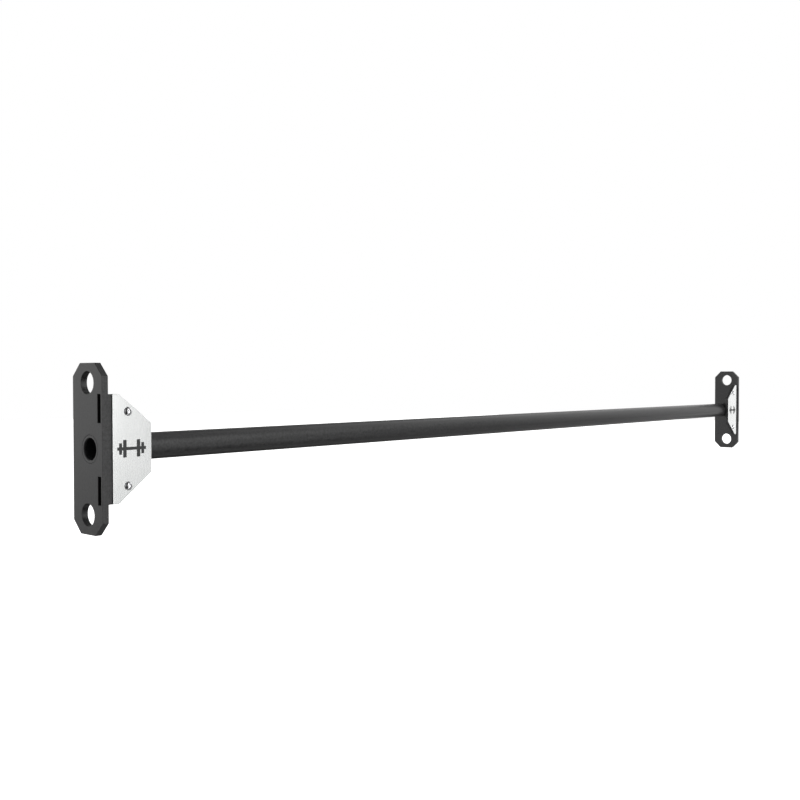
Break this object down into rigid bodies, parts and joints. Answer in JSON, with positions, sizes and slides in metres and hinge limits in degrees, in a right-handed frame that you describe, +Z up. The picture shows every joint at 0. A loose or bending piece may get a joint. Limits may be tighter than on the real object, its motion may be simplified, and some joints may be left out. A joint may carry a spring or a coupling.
{
  "type": "pull up bar",
  "caption": "Round steel pull up bar between two bolt-on flange plates, each with a tabbed gusset plate and a silver nameplate on its front.",
  "frame": {"origin": "half way between the outer faces of the two flanges, on the line through the middles of their bolt rows", "axes": "+X along the bar towards the right flange, +Z up, -Y towards the front, which shows the nameplates. The tube's axis is parallel to X and 5 mm in front of it, at Y = -5 mm."},
  "size_m": [1.83, 0.0618, 0.195],
  "materials": {
    "powder_coat": "fine textured black powder coat",
    "satin_plate": "satin",
    "mark_paint": "matt dark fill in the engraving",
    "screw_steel": "polished"
  },
  "bodies": {
    "root": {"bar_tube": "powder_coat", "left_flange": "powder_coat", "left_gusset": "powder_coat", "left_nameplate": "satin_plate", "left_mark_fill": "mark_paint", "left_upper_screw": "screw_steel", "left_lower_screw": "screw_steel", "left_bar_weld": "powder_coat", "left_upper_gusset_weld": "powder_coat", "left_lower_gusset_weld": "powder_coat", "left_upper_tube_weld": "powder_coat", "left_lower_tube_weld": "powder_coat", "right_flange": "powder_coat", "right_gusset": "powder_coat", "right_nameplate": "satin_plate", "right_mark_fill": "mark_paint", "right_upper_screw": "screw_steel", "right_lower_screw": "screw_steel", "right_bar_weld": "powder_coat", "right_upper_gusset_weld": "powder_coat", "right_lower_gusset_weld": "powder_coat", "right_upper_tube_weld": "powder_coat", "right_lower_tube_weld": "powder_coat"}
  },
  "joints": []
}
